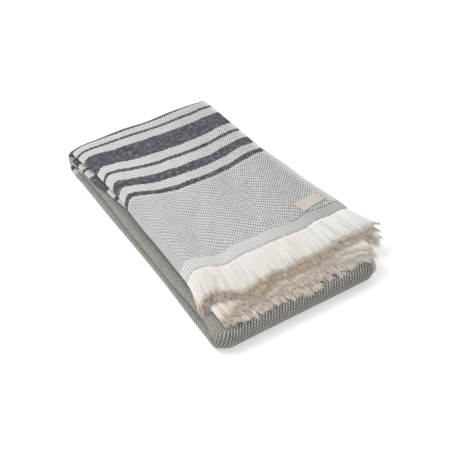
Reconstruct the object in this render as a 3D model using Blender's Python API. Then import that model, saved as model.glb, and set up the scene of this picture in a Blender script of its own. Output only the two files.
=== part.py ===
"""Hammam towel, folded flat: a cotton cloth with a cut fringe at each end and a small woven label.

The cloth is folded in half twice across its width and then in half twice along its length.
Across, that makes a flat spiral of four layers with two turns on the left and one on the right.
Along, the four-layer strip runs back and forth four times: the top run starts at one fringe, goes
over the back, returns as the lowest run, turns up at the front, goes back as the third run, turns
up inside the back and comes forward as the second run, to the other fringe.

Metres, +Z up. The front, with the fringes, is at -Y and the turned left side is at -X.
The origin is on the floor at the centre of the towel's box.
"""
import math
from collections import namedtuple

import bmesh
import bpy
import numpy as np
from mathutils import Vector
from mathutils.bvhtree import BVHTree

# Driving sizes
STACK_HEIGHT = 0.0457       # sixteen layers, at the middle of the top
LAYERS = 16
CLOTH_THICK = 0.0013
LAYER = (STACK_HEIGHT - CLOTH_THICK) / (LAYERS - 1)     # from the middle of one to the next
HALF_WIDTH = 0.1235         # of the folded strip
GAP = 0.0003                # between pieces that are sewn or knotted together
BOX_CENTRE = (0.01280, 0.00335)     # of the towel as laid out below, then moved to the origin

# Places of the folds along Y
BACK_TURN_Y = 0.196         # centre of the two turns at the back, at their left end
BACK_SKEW = 0.016           # how much further back their right end lies
FRONT_TURN_Y = -0.2165      # centre of the turn at the front
TOP_EDGE_Y = -0.1300        # end of the cloth on the top run
UNDER_EDGE_Y = -0.1500      # end of the cloth on the second run

# Fringe
STRIP = 0.0030              # the narrow edge that the strands grow from
STRIP_THICK = 0.0011
STRAND_LENGTH = 0.042
LENGTH_SPREAD = 0.004       # longer or shorter
STRAND_PITCH = 0.0110
STRAND_SHARE = 0.64         # of the pitch that a strand fills
NARROWEST_SPAN = 0.0020     # of the cloth's mesh that still carries a strand
STRAND_TIP = 0.80           # a tip's width as a share of the root's
STRAND_STEPS = (0.5, 1.0)   # places of its sections
SWAY = 0.0010               # of a tip to either side
FLARE_POWER = 5             # how steeply the spread grows towards the two sides
FLARE_CURVE = 1.5           # and towards the tips
FLARE_FADE = 0.5            # of the right side's spread, lost from the first layer to the fourth
TOP_FLARE = (0.008, 0.026)      # of the tips at the left and the right
UNDER_FLARE = (0.008, 0.010)

# Label
LABEL_CENTRE = (0.0859, -0.0966)
LABEL_SIZE = (0.046, 0.0205)
LABEL_TURN = math.radians(13.4)
LABEL_THICK = 0.0006
LABEL_LIFT = 0.0004
LABEL_CELLS = (11, 5)

# A fold is a straight run with a length, or a round turn with a radius and the angle it bends by.
# Spans are the rows of the mesh that it takes.
Fold = namedtuple("Fold", "name length radius turned spans")
STRAIGHT = 0.0
INSIDE_TURN = LAYER / 2
OUTSIDE_TURN = 1.5 * LAYER
SETBACK = 0.0025            # the inner left turn doesn't fill the outer one
LAYER_LENGTH = 2 * HALF_WIDTH - OUTSIDE_TURN
LAYER_SPANS = 9
LAYER_GRADING = 0.50        # rows are closer together near the turns: 0 even, 1 all at the ends
WIDTH_FOLDS = (
    Fold("layer 1, on top", LAYER_LENGTH, STRAIGHT, 0.0, LAYER_SPANS),
    Fold("outer left turn", 0.0, OUTSIDE_TURN, math.pi, 6),
    Fold("layer 4, lowest", LAYER_LENGTH - INSIDE_TURN, STRAIGHT, 0.0, LAYER_SPANS),
    Fold("right turn", 0.0, INSIDE_TURN, math.pi, 3),
    Fold("layer 3", LAYER_LENGTH - INSIDE_TURN - SETBACK, STRAIGHT, 0.0, LAYER_SPANS),
    Fold("inner left turn", 0.0, INSIDE_TURN, -math.pi, 3),
    Fold("layer 2", LAYER_LENGTH - SETBACK, STRAIGHT, 0.0, LAYER_SPANS),
)
WIDTH_START = (HALF_WIDTH, OUTSIDE_TURN, math.pi)      # x, height in the strip, heading

LOWER_RUN = BACK_TURN_Y - FRONT_TURN_Y
LENGTH_FOLDS = (
    Fold("top run", BACK_TURN_Y - TOP_EDGE_Y, STRAIGHT, 0.0, 7),
    Fold("outer back turn", 0.0, 6 * LAYER, -math.pi, 7),
    Fold("lowest run", LOWER_RUN, STRAIGHT, 0.0, 7),
    Fold("front turn", 0.0, 2 * LAYER, -math.pi, 6),
    Fold("third run", LOWER_RUN, STRAIGHT, 0.0, 7),
    Fold("inner back turn", 0.0, 2 * LAYER, math.pi, 4),
    Fold("second run", BACK_TURN_Y - UNDER_EDGE_Y, STRAIGHT, 0.0, 7),
)
LENGTH_START = (TOP_EDGE_Y, 14 * LAYER, 0.0)           # y, z, heading

# The two sides of the strip wander from run to run. A place is a share of its fold's length.
Side = namedtuple("Side", "fold place left right")
SIDES = (
    Side("top run", 0.00, -0.1190, 0.1365),
    Side("top run", 0.35, -0.1170, 0.1265),
    Side("top run", 0.60, -0.1145, 0.1205),
    Side("top run", 0.80, -0.1165, 0.1200),
    Side("top run", 1.00, -0.1235, 0.1205),
    Side("outer back turn", 0.50, -0.1270, 0.1180),
    Side("lowest run", 0.00, -0.1285, 0.1200),
    Side("lowest run", 0.30, -0.1295, 0.1190),
    Side("lowest run", 0.65, -0.1285, 0.1170),
    Side("lowest run", 0.92, -0.1315, 0.1150),
    Side("front turn", 0.50, -0.1325, 0.1120),
    Side("third run", 0.10, -0.1265, 0.1145),
    Side("third run", 0.28, -0.1280, 0.1180),
    Side("third run", 0.50, -0.1265, 0.1200),
    Side("third run", 0.80, -0.1225, 0.1200),
    Side("third run", 1.00, -0.1240, 0.1205),
    Side("inner back turn", 0.50, -0.1260, 0.1210),
    Side("second run", 0.00, -0.1275, 0.1210),
    Side("second run", 0.14, -0.1250, 0.1205),
    Side("second run", 0.28, -0.1170, 0.1200),
    Side("second run", 0.50, -0.1085, 0.1195),
    Side("second run", 1.00, -0.1065, 0.1190),
)

# How far each layer's end reaches forward of the shortest one, at the cloth's two ends
Reach = namedtuple("Reach", "fold place top under")
REACHES = (
    Reach("layer 1, on top", 0.90, 0.000, 0.015),
    Reach("layer 4, lowest", 0.10, 0.014, 0.000),
    Reach("layer 4, lowest", 0.94, 0.014, 0.000),
    Reach("layer 3", 0.06, 0.009, 0.005),
    Reach("layer 3", 0.94, 0.009, 0.005),
    Reach("layer 2", 0.06, 0.005, 0.010),
)

# The ends aren't straight, and the stack isn't even: slow waves, as a size in metres for the
# ends and as a share of the height for the stack
EndWave = namedtuple("EndWave", "size length shift")
END_WAVES = (
    EndWave(0.0035, 0.098, 0.031),
    EndWave(0.0022, 0.057, 0.000),
)
UNDER_END_SHIFT = 0.040     # the second run's end waves elsewhere
StackWave = namedtuple("StackWave", "size across along phase")
STACK_WAVES = (
    StackWave(0.020, 0.150, 0.410, 0.6),
    StackWave(0.014, 0.083, -0.300, 2.1),
    StackWave(0.012, 0.500, 0.170, 0.0),
)

# How the stack settles
LOWER_PUFF = 1.08           # the two lower runs are looser than the two upper ones
COLLAPSE_START = 0.002      # from just inside the second run's left turn its neighbours close up
COLLAPSE_WIDTH = 0.016
THIRD_RISE = 0.0038
TOP_DROP = 0.0050
FRONT_DROOP = 0.40          # the upper runs sink where the fringes leave them
DROOP_START_Y = -0.115
DROOP_LENGTH = 0.100
SIDE_SLOPE = 0.05           # the stack is a little thinner along its sides
SIDE_SLOPE_WIDTH = 0.030
CORNER_ROUND = 0.006        # the front turn falls back at its two ends
CORNER_WIDTH = 0.018
CORNER_REACH = 0.120        # from the middle of the turn along the cloth
CORNER_FADE = 0.030
LEFT_DENT = 0.0020          # the lowest left turn is creased along its middle
DENT_REACH = 0.0045
DENT_HEIGHT = 0.6 * LAYER
DENT_FADE_IN = 0.030
DENT_END = 0.300
DENT_FADE_OUT = 0.150

CLOTH_GREY = (0.50, 0.50, 0.50)
YARN_WHITE = (0.84, 0.81, 0.76)
TAPE_BEIGE = (0.62, 0.57, 0.48)


def clear_scene():
    for item in list(bpy.data.objects):
        bpy.data.objects.remove(item, do_unlink=True)


def fabric(name, colour, roughness):
    """A plain cotton finish."""
    material = bpy.data.materials.new(name)
    material.use_nodes = True
    shader = material.node_tree.nodes["Principled BSDF"]
    shader.inputs["Base Color"].default_value = (*colour, 1.0)
    shader.inputs["Roughness"].default_value = roughness
    shader.inputs["Metallic"].default_value = 0.0
    return material


def eased(value):
    """Smooth step from 0 to 1."""
    value = np.clip(value, 0.0, 1.0)
    return value * value * (3.0 - 2.0 * value)


def fold_length(fold):
    """Straight length of a run, or the arc of a turn."""
    return fold.length + fold.radius * abs(fold.turned)


def fold_start(folds, name):
    """Distance along the folded line at which the named fold starts."""
    names = [fold.name for fold in folds]
    return sum(fold_length(fold) for fold in folds[:names.index(name)])


def stations(folds, grading=0.0):
    """Distances along the folded line of the mesh's rows, with the spans that each fold states.

    With a grading, the rows of a straight run crowd towards its two ends along a sine.
    """
    rows = [0.0]
    for fold in folds:
        share = np.arange(1, fold.spans + 1) / fold.spans
        if fold.radius == STRAIGHT:
            share = share - grading * np.sin(2 * math.pi * share) / (2 * math.pi)
        rows.extend(rows[-1] + fold_length(fold) * share)
    return np.array(rows)


def folded_line(folds, start, distance):
    """Point and heading at each distance along straight runs joined by round turns.

    A turn is the arc about the point one radius to the side it bends to. Before the first fold
    and after the last one the line goes straight on.
    """
    one, two, heading = start
    distance = np.asarray(distance, float)
    first, second, headings = (np.zeros(distance.shape) for _ in range(3))
    for fold in folds:
        reached = fold_start(folds, fold.name)
        here = (distance >= reached) | (fold is folds[0])
        along = distance[here] - reached
        if fold.radius == STRAIGHT:
            first[here] = one + along * math.cos(heading)
            second[here] = two + along * math.sin(heading)
            headings[here] = heading
            one += fold.length * math.cos(heading)
            two += fold.length * math.sin(heading)
        else:
            arm = math.copysign(fold.radius, fold.turned)
            centre = (one - arm * math.sin(heading), two + arm * math.cos(heading))
            headings[here] = heading + along / arm
            first[here] = centre[0] + arm * np.sin(headings[here])
            second[here] = centre[1] - arm * np.cos(headings[here])
            heading += fold.turned
            one = centre[0] + arm * math.sin(heading)
            two = centre[1] - arm * math.cos(heading)
    return first, second, headings


def table_values(table, folds, distance):
    """The last two columns of a table at distances along its folds, eased from row to row."""
    lengths = {fold.name: fold_length(fold) for fold in folds}
    places = np.array([fold_start(folds, row.fold) + row.place * lengths[row.fold] for row in table])
    index = np.clip(np.searchsorted(places, distance) - 1, 0, len(places) - 2)
    share = eased((distance - places[index]) / (places[index + 1] - places[index]))
    columns = (np.array([row[column] for row in table]) for column in (-2, -1))
    return [values[index] + (values[index + 1] - values[index]) * share for values in columns]


def end_wave(x):
    """How far the cloth's end lies behind its mean place, across the strip."""
    return sum(wave.size * np.sin(2 * math.pi * (x + wave.shift) / wave.length) for wave in END_WAVES)


def loosened(z):
    """Heights with the lower half of the stack looser and the upper half tighter."""
    middle = (LAYERS - 1) / 2 * LAYER
    return np.minimum(z, middle) * LOWER_PUFF + np.maximum(z - middle, 0.0) * (2.0 - LOWER_PUFF)


def settle(x, y, z):
    """Heights of the settled stack, the same rule for every layer so that none crosses another.

    The lowest layer's middle stays level at half the cloth's thickness, and the rest moves with
    its height above it.
    """
    lowest_top, third_top, second_top = loosened(np.array((3.5, 7.5, 11.5)) * LAYER)
    z = loosened(z - LAYER / 2)
    second_run = fold_start(LENGTH_FOLDS, "second run")
    second_left, _ = table_values(SIDES, LENGTH_FOLDS, second_run + BACK_TURN_Y - y)
    beyond = eased((second_left + COLLAPSE_START - x) / COLLAPSE_WIDTH)
    z = z + beyond * np.interp(z, (lowest_top, third_top, second_top), (0.0, THIRD_RISE, -TOP_DROP))
    third_top = third_top + beyond * THIRD_RISE
    droop = 1.0 - FRONT_DROOP * eased((DROOP_START_Y - y) / DROOP_LENGTH)
    z = np.where(z > third_top, third_top + (z - third_top) * droop, z)
    inside = (HALF_WIDTH - abs(x)) / SIDE_SLOPE_WIDTH
    wave = sum(wave.size * np.sin(2 * math.pi * (x / wave.across + y / wave.along) + wave.phase)
               for wave in STACK_WAVES)
    return CLOTH_THICK / 2 + z * (1.0 - SIDE_SLOPE * eased(1.0 - inside) + wave)


def towel_surface(across, along):
    """Middle of the cloth at distances across and along it, as an array of points.

    The width's folds give x and the height within the strip. The length's folds give the strip's
    own place, and the height is laid off along its normal.
    """
    width, depth, _ = folded_line(WIDTH_FOLDS, WIDTH_START, across)
    strip_y, strip_z, heading = folded_line(LENGTH_FOLDS, LENGTH_START, along)
    left, right = table_values(SIDES, LENGTH_FOLDS, along)
    share = (width + HALF_WIDTH) / (2 * HALF_WIDTH)
    x = left + (right - left) * share
    y = strip_y - depth * np.sin(heading)
    y = y + BACK_SKEW * share * np.clip(y / BACK_TURN_Y, 0.0, 1.0)
    z = strip_z + depth * np.cos(heading)

    second_run = fold_start(LENGTH_FOLDS, "second run")
    near_top = np.clip(1.0 - along / fold_length(LENGTH_FOLDS[0]), 0.0, 1.0)
    near_under = np.clip((along - second_run) / fold_length(LENGTH_FOLDS[-1]), 0.0, 1.0)
    top_reach, under_reach = table_values(REACHES, WIDTH_FOLDS, across)
    y = y + near_top * (end_wave(x) - top_reach)
    y = y + near_under * (end_wave(x + UNDER_END_SHIFT) - under_reach)

    at_front = eased((FRONT_TURN_Y + CORNER_FADE - y) / CORNER_FADE)
    from_turn = abs(along - fold_start(LENGTH_FOLDS, "third run"))
    at_left = eased(1.0 - (x - left) / CORNER_WIDTH)
    at_right = eased(1.0 - (right - x) / CORNER_WIDTH)
    y = y + CORNER_ROUND * (at_left + at_right) * at_front * eased(1.0 - from_turn / CORNER_REACH)

    past_back = along - fold_start(LENGTH_FOLDS, "lowest run")
    dented = eased(past_back / DENT_FADE_IN) * eased((DENT_END - past_back) / DENT_FADE_OUT)
    crease = np.exp(-((z - 2 * LAYER) / DENT_HEIGHT) ** 2)
    x = x + LEFT_DENT * dented * crease * eased(1.0 - (x - left) / DENT_REACH)
    return np.stack((x - BOX_CENTRE[0], y - BOX_CENTRE[1], settle(x, y, z)), axis=-1)


def offset_surface(across, along, offset):
    """The cloth moved along its normal, which is up on its top layer.

    The normal comes from short steps along both directions.
    """
    step = 0.0002
    over_width = towel_surface(across + step, along) - towel_surface(across - step, along)
    over_length = towel_surface(across, along + step) - towel_surface(across, along - step)
    normal = np.cross(over_length, over_width)
    normal = normal / np.linalg.norm(normal, axis=-1, keepdims=True)
    return towel_surface(across, along) + offset * normal


def facet_surface(across, along, offset):
    """The same on the mesh's flat spans, straight from one of the cloth's rows to the next."""
    rows = stations(WIDTH_FOLDS, LAYER_GRADING)
    index = np.clip(np.searchsorted(rows, across, side="right") - 1, 0, len(rows) - 2)
    share = ((across - rows[index]) / (rows[index + 1] - rows[index]))[..., None]
    near = offset_surface(rows[index], along, offset)
    far = offset_surface(rows[index + 1], along, offset)
    return near + (far - near) * share


def mesh_object(name, points, faces, material):
    """A named object from points and faces, with its faces turned outwards."""
    mesh = bpy.data.meshes.new(name)
    mesh.from_pydata([tuple(point) for point in points], [], faces)
    body = bmesh.new()
    body.from_mesh(mesh)
    bmesh.ops.recalc_face_normals(body, faces=body.faces)
    body.to_mesh(mesh)
    body.free()
    mesh.shade_smooth()
    mesh.materials.append(material)
    item = bpy.data.objects.new(name, mesh)
    bpy.context.scene.collection.objects.link(item)
    return item


def slab(name, upper, lower, material):
    """A closed sheet between two like grids of points, with a rim of quads."""
    rows, columns = upper.shape[:2]
    below = rows * columns
    faces = []
    for row in range(rows - 1):
        for column in range(columns - 1):
            corner = row * columns + column
            quad = (corner, corner + 1, corner + columns + 1, corner + columns)
            faces.append(quad)
            faces.append(tuple(point + below for point in quad[::-1]))
    grid = np.arange(below).reshape(rows, columns)
    rim = [*grid[0, :-1], *grid[:-1, -1], *grid[-1, :0:-1], *grid[:0:-1, 0]]
    faces += [(one, one + below, two + below, two) for one, two in zip(rim, rim[1:] + rim[:1])]
    points = np.concatenate((upper.reshape(-1, 3), lower.reshape(-1, 3)))
    return mesh_object(name, points, faces, material)


def make_towel(material):
    """The cloth itself, hems and all, as one closed sheet along both sets of folds."""
    across, along = np.meshgrid(stations(WIDTH_FOLDS, LAYER_GRADING), stations(LENGTH_FOLDS))
    upper = offset_surface(across, along, CLOTH_THICK / 2)
    lower = offset_surface(across, along, -CLOTH_THICK / 2)
    return slab("towel", upper, lower, material)


def fringe_cells():
    """Cuts of the strip, as distances across the cloth, and the cells that carry a strand.

    Each wide span of the cloth's mesh holds as many strands as fit, each between two gaps. In the
    turns the spans are narrow: every second one holds a strand in the outer turn, and none in
    the tight ones.
    """
    rows = stations(WIDTH_FOLDS, LAYER_GRADING)
    cuts, strands = [0.0], []
    for place, (start, end) in enumerate(zip(rows[:-1], rows[1:])):
        span = end - start
        if span > STRAND_PITCH / 2:
            count = max(1, round(span / STRAND_PITCH))
        else:
            count = place % 2 if span > NARROWEST_SPAN else 0
        for strand in range(count):
            middle = start + (strand + 0.5) * span / count
            half = STRAND_SHARE * span / count / 2
            strands.append(len(cuts))
            cuts.extend((middle - half, middle + half))
        cuts.append(end)
    return np.array(cuts), strands


def make_fringe(name, edge, direction, flare, seed, material):
    """One end's strands, all growing out of one narrow strip that follows the cloth's folded end.

    Edge is the distance along the cloth of its end, direction is -1 before it and 1 past it.
    Flare is how far the outermost tips spread to the left and to the right.
    """
    rng = np.random.default_rng(seed)
    cuts, strands = fringe_cells()
    columns = len(cuts)
    near = edge + direction * GAP
    far = edge + direction * (GAP + STRIP)
    rims = [facet_surface(cuts, np.full(columns, along), side * STRIP_THICK)
            for along in (near, far) for side in (0.5, -0.5)]
    points = list(np.concatenate(rims))
    near_top, near_low, far_top, far_low = (row * columns for row in range(4))
    faces = []
    for cell in range(columns - 1):
        faces.append((near_top + cell, near_top + cell + 1, far_top + cell + 1, far_top + cell))
        faces.append((far_low + cell, far_low + cell + 1, near_low + cell + 1, near_low + cell))
        faces.append((near_low + cell, near_low + cell + 1, near_top + cell + 1, near_top + cell))
        if cell not in strands:
            faces.append((far_top + cell, far_top + cell + 1, far_low + cell + 1, far_low + cell))
    for cell in (0, columns - 1):
        faces.append((near_top + cell, far_top + cell, far_low + cell, near_low + cell))

    for cell in strands:
        left, right = cuts[cell], cuts[cell + 1]
        middle, half = (left + right) / 2, (right - left) / 2
        depth = folded_line(WIDTH_FOLDS, WIDTH_START, [middle])[1][0]
        keep = 1.0 - FLARE_FADE * (OUTSIDE_TURN - depth) / (2 * OUTSIDE_TURN)
        length = STRAND_LENGTH + rng.uniform(-LENGTH_SPREAD, LENGTH_SPREAD)
        sway = rng.uniform(-SWAY, SWAY)
        ring = (far_top + cell, far_top + cell + 1, far_low + cell + 1, far_low + cell)
        for step in STRAND_STEPS:
            narrow = 1.0 - (1.0 - STRAND_TIP) * step
            spread = middle + half * narrow * np.array((-1.0, 1.0, 1.0, -1.0))
            side = STRIP_THICK * narrow * np.array(((0.5,), (0.5,), (-0.5,), (-0.5,)))
            reach = np.full(4, far + direction * length * step)
            corners = facet_surface(spread, reach, side)
            share = np.clip((corners[:, 0] + BOX_CENTRE[0]) / (2 * HALF_WIDTH) + 0.5, 0.0, 1.0)
            fan = flare[1] * keep * share ** FLARE_POWER - flare[0] * (1.0 - share) ** FLARE_POWER
            corners[:, 0] += fan * step ** FLARE_CURVE + sway * step
            outer = tuple(range(len(points), len(points) + 4))
            points.extend(corners)
            for one in range(4):
                two = (one + 1) % 4
                faces.append((ring[one], ring[two], outer[two], outer[one]))
            ring = outer
        faces.append(ring)
    return mesh_object(name, points, faces, material)


def make_label(towel, material):
    """A small bare woven label that lies on the top layer, near its front right corner."""
    mesh = towel.data
    mesh.calc_loop_triangles()
    tree = BVHTree.FromPolygons([vertex.co for vertex in mesh.vertices],
                                [triangle.vertices for triangle in mesh.loop_triangles])
    columns, rows = LABEL_CELLS[0] + 1, LABEL_CELLS[1] + 1
    upper = np.zeros((rows, columns, 3))
    for row in range(rows):
        for column in range(columns):
            right = (column / LABEL_CELLS[0] - 0.5) * LABEL_SIZE[0]
            back = (row / LABEL_CELLS[1] - 0.5) * LABEL_SIZE[1]
            x = LABEL_CENTRE[0] + right * math.cos(LABEL_TURN) - back * math.sin(LABEL_TURN)
            y = LABEL_CENTRE[1] + right * math.sin(LABEL_TURN) + back * math.cos(LABEL_TURN)
            hit = tree.ray_cast(Vector((x, y, 1.0)), Vector((0.0, 0.0, -1.0)))[0]
            upper[row, column] = (x, y, hit.z + LABEL_LIFT + LABEL_THICK)
    lower = upper - np.array((0.0, 0.0, LABEL_THICK))
    return slab("label", upper, lower, material)


clear_scene()
cotton = fabric("woven cotton, grey", CLOTH_GREY, 0.92)
yarn = fabric("cut cotton yarn, undyed", YARN_WHITE, 0.95)
tape = fabric("woven label tape, beige", TAPE_BEIGE, 0.85)
cloth = make_towel(cotton)
cloth_length = sum(fold_length(fold) for fold in LENGTH_FOLDS)
make_fringe("fringe_top", 0.0, -1.0, TOP_FLARE, 11, yarn)
make_fringe("fringe_under", cloth_length, 1.0, UNDER_FLARE, 12, yarn)
make_label(cloth, tape)
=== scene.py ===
import math
from collections import namedtuple

import bpy
import numpy as np
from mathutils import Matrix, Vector


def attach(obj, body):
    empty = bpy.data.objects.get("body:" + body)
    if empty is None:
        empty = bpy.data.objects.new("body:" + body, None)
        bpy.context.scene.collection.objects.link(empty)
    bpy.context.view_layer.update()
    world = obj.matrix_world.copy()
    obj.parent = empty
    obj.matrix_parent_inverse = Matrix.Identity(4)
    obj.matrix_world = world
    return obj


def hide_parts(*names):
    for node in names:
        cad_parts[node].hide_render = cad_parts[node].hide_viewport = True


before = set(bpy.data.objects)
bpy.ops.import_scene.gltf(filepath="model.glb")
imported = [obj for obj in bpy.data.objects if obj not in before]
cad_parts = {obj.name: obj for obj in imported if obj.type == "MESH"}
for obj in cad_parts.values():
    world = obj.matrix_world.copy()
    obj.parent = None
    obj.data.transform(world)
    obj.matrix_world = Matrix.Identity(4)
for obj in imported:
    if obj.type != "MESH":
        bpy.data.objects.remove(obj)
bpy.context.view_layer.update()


# ---------------------------------------------------------------------------------------------
# The table and the light. A white acrylic board lit from below, a bright white tent all round and
# one large soft lamp high behind the towel's left side. None of them is part of the towel.
WHITE = (1.0, 1.0, 1.0, 1.0)
FLOOR_HALF = 3.0
FLOOR_WHITE = "#D9D9D9"
FLOOR_GLOW = 0.40
TENT_STRENGTH = 0.72
LAMP_PLACE = (-1.1, 1.3, 2.1)
LAMP_SIZE = 1.6
LAMP_POWER = 46.0


def linear(colour):
    """sRGB hex to linear RGBA: c / 12.92 for a dark channel, ((c + 0.055) / 1.055) ** 2.4 else."""
    channels = np.array([int(colour[place:place + 2], 16) for place in (1, 3, 5)]) / 255.0
    curved = ((channels + 0.055) / 1.055) ** 2.4
    return (*np.where(channels <= 0.04045, channels / 12.92, curved), 1.0)


def new_material(name, **finish):
    """A material, its node tree and its shader, with the finish on the shader's own sockets."""
    material = bpy.data.materials.new(name)
    material.use_nodes = True
    shader = material.node_tree.nodes["Principled BSDF"]
    for socket, value in finish.items():
        shader.inputs[socket.replace("_", " ")].default_value = value
    return material, material.node_tree, shader


def grid_quads(rows, columns):
    """Quads of a grid of points: each point, the next in its row, and the two below them."""
    corner = (np.arange(rows - 1)[:, None] * columns + np.arange(columns - 1)).ravel()
    return np.stack((corner, corner + 1, corner + columns + 1, corner + columns), axis=1)


def new_piece(name, points, polygons, material):
    """A smooth piece at the origin from an (n, 3) array of points and arrays of polygons."""
    corners = np.concatenate([part.ravel() for part in polygons]).astype(np.int32)
    counts = np.concatenate([np.full(len(part), part.shape[1]) for part in polygons])
    mesh = bpy.data.meshes.new(name)
    mesh.vertices.add(len(points))
    mesh.vertices.foreach_set("co", points.astype(np.float32).ravel())
    mesh.loops.add(len(corners))
    mesh.loops.foreach_set("vertex_index", corners)
    mesh.polygons.add(len(counts))
    mesh.polygons.foreach_set("loop_start", (np.cumsum(counts) - counts).astype(np.int32))
    mesh.update(calc_edges=True)
    mesh.shade_smooth()
    mesh.materials.append(material)
    piece = bpy.data.objects.new(name, mesh)
    bpy.context.scene.collection.objects.link(piece)
    return piece


# Opal acrylic, lit through: even and nearly without shadows, with a faint mirror image of the
# towel's sides in its gloss.
board_finish, _, _ = new_material("opal acrylic board, white", Base_Color=linear(FLOOR_WHITE),
                                  Roughness=0.15, Emission_Color=WHITE,
                                  Emission_Strength=FLOOR_GLOW)
floor_x, floor_y = np.meshgrid((-FLOOR_HALF, FLOOR_HALF), (-FLOOR_HALF, FLOOR_HALF))
floor_points = np.stack((floor_x, floor_y, np.zeros((2, 2))), axis=-1).reshape(-1, 3)
floor = new_piece("floor", floor_points, [grid_quads(2, 2)], board_finish)

tent = bpy.data.worlds.new("white tent")
tent.use_nodes = True
tent_wall = tent.node_tree.nodes["Background"]
tent_wall.inputs["Color"].default_value = WHITE
tent_wall.inputs["Strength"].default_value = TENT_STRENGTH
bpy.context.scene.world = tent

lamp_data = bpy.data.lights.new("lamp", "AREA")
lamp_data.size = LAMP_SIZE
lamp_data.energy = LAMP_POWER
lamp = bpy.data.objects.new("lamp", lamp_data)
lamp.location = LAMP_PLACE
lamp.rotation_euler = (-Vector(LAMP_PLACE)).to_track_quat("-Z", "Y").to_euler()
bpy.context.scene.collection.objects.link(lamp)
bpy.context.scene.view_settings.view_transform = "Standard"


# ---------------------------------------------------------------------------------------------
# The camera, at about the height of someone who stands at the table and looks down on the
# towel's front left corner.
VIEW_TURN = math.radians(-32.853)
VIEW_DOWN = math.radians(39.748)
VIEW_DISTANCE = 1.0505
VIEW_POINT = Vector((-0.0096, -0.03055, 0.0))
LENS_MM, SENSOR_MM = 59.17, 36.0

towards_camera = Vector((math.sin(VIEW_TURN) * math.cos(VIEW_DOWN),
                         -math.cos(VIEW_TURN) * math.cos(VIEW_DOWN), math.sin(VIEW_DOWN)))
camera_data = bpy.data.cameras.new("camera")
camera_data.lens = LENS_MM
camera_data.sensor_width = SENSOR_MM
camera = bpy.data.objects.new("camera", camera_data)
camera.location = VIEW_POINT + VIEW_DISTANCE * towards_camera
camera.rotation_euler = (-towards_camera).to_track_quat("-Z", "Y").to_euler()
bpy.context.scene.collection.objects.link(camera)
bpy.context.scene.camera = camera


# ---------------------------------------------------------------------------------------------
# The cloth: one piece of bird's-eye woven cotton, about 99 by 159 cm, with dark weft stripes near
# both ends. It is folded in half twice across its width, a flat spiral of four layers, and that
# strip is laid back and forth four times, so both ends come out on top of each other in front.
STACK_HEIGHT, LAYERS = 0.0457, 16
CLOTH_THICK, STACKED_THICK = 0.0012, 0.0013       # as woven, and as a layer takes up in the stack
LAYER = (STACK_HEIGHT - STACKED_THICK) / (LAYERS - 1)
HALF_WIDTH = 0.1235         # of the strip, before its sides wander
BOX_CENTRE = (0.01280, 0.00335)             # of the towel on these places, set at the origin
BACK_TURN_Y, BACK_SKEW = 0.196, 0.016
FRONT_TURN_Y = -0.2165
TOP_EDGE_Y, UNDER_EDGE_Y = -0.1300, -0.1500

# A fold is a straight run with a length, or a round turn with a radius and an angle. Spans are
# the mesh's rows in it.
Fold = namedtuple("Fold", "name length radius turned spans")
STRAIGHT = 0.0
INSIDE_TURN, OUTSIDE_TURN = 0.5 * LAYER, 1.5 * LAYER
SETBACK = 0.0025            # of the inner left turn from the outer one
LAYER_LENGTH = 2 * HALF_WIDTH - OUTSIDE_TURN
WIDTH_FOLDS = (
    Fold("layer 1, on top", LAYER_LENGTH, STRAIGHT, 0.0, 56),
    Fold("outer left turn", 0.0, OUTSIDE_TURN, math.pi, 12),
    Fold("layer 4, lowest", LAYER_LENGTH - INSIDE_TURN, STRAIGHT, 0.0, 28),
    Fold("right turn", 0.0, INSIDE_TURN, math.pi, 8),
    Fold("layer 3", LAYER_LENGTH - INSIDE_TURN - SETBACK, STRAIGHT, 0.0, 22),
    Fold("inner left turn", 0.0, INSIDE_TURN, -math.pi, 8),
    Fold("layer 2", LAYER_LENGTH - SETBACK, STRAIGHT, 0.0, 24),
)
WIDTH_START = (HALF_WIDTH, OUTSIDE_TURN, math.pi)      # place across, height in the strip, heading
LAYER_GRADING = 0.45        # how much the mesh's rows crowd to a layer's ends

LOWER_RUN = BACK_TURN_Y - FRONT_TURN_Y
LENGTH_FOLDS = (
    Fold("top run", BACK_TURN_Y - TOP_EDGE_Y, STRAIGHT, 0.0, 84),
    Fold("outer back turn", 0.0, 6 * LAYER, -math.pi, 32),
    Fold("lowest run", LOWER_RUN, STRAIGHT, 0.0, 48),
    Fold("front turn", 0.0, 2 * LAYER, -math.pi, 26),
    Fold("third run", LOWER_RUN, STRAIGHT, 0.0, 48),
    Fold("inner back turn", 0.0, 2 * LAYER, math.pi, 12),
    Fold("second run", BACK_TURN_Y - UNDER_EDGE_Y, STRAIGHT, 0.0, 44),
)
LENGTH_START = (TOP_EDGE_Y, 14 * LAYER, 0.0)           # y, height of the strip's middle, heading

# The two sides of the strip wander from run to run. A place is a share of its fold's length.
Side = namedtuple("Side", "fold place left right")
SIDES = tuple(Side(fold, *row) for fold, rows in (
    ("top run", ((0.00, -0.1190, 0.1365), (0.35, -0.1170, 0.1265), (0.60, -0.1145, 0.1205),
                 (0.80, -0.1165, 0.1200), (1.00, -0.1235, 0.1205))),
    ("outer back turn", ((0.50, -0.1270, 0.1180),)),
    ("lowest run", ((0.00, -0.1285, 0.1200), (0.30, -0.1295, 0.1190), (0.65, -0.1285, 0.1170),
                    (0.92, -0.1315, 0.1150))),
    ("front turn", ((0.50, -0.1325, 0.1120),)),
    ("third run", ((0.10, -0.1265, 0.1145), (0.28, -0.1280, 0.1180), (0.50, -0.1265, 0.1200),
                   (0.80, -0.1225, 0.1200), (1.00, -0.1240, 0.1205))),
    ("inner back turn", ((0.50, -0.1260, 0.1210),)),
    ("second run", ((0.00, -0.1275, 0.1210), (0.14, -0.1250, 0.1205), (0.28, -0.1170, 0.1200),
                    (0.50, -0.1085, 0.1195), (1.00, -0.1065, 0.1190))),
) for row in rows)

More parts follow.
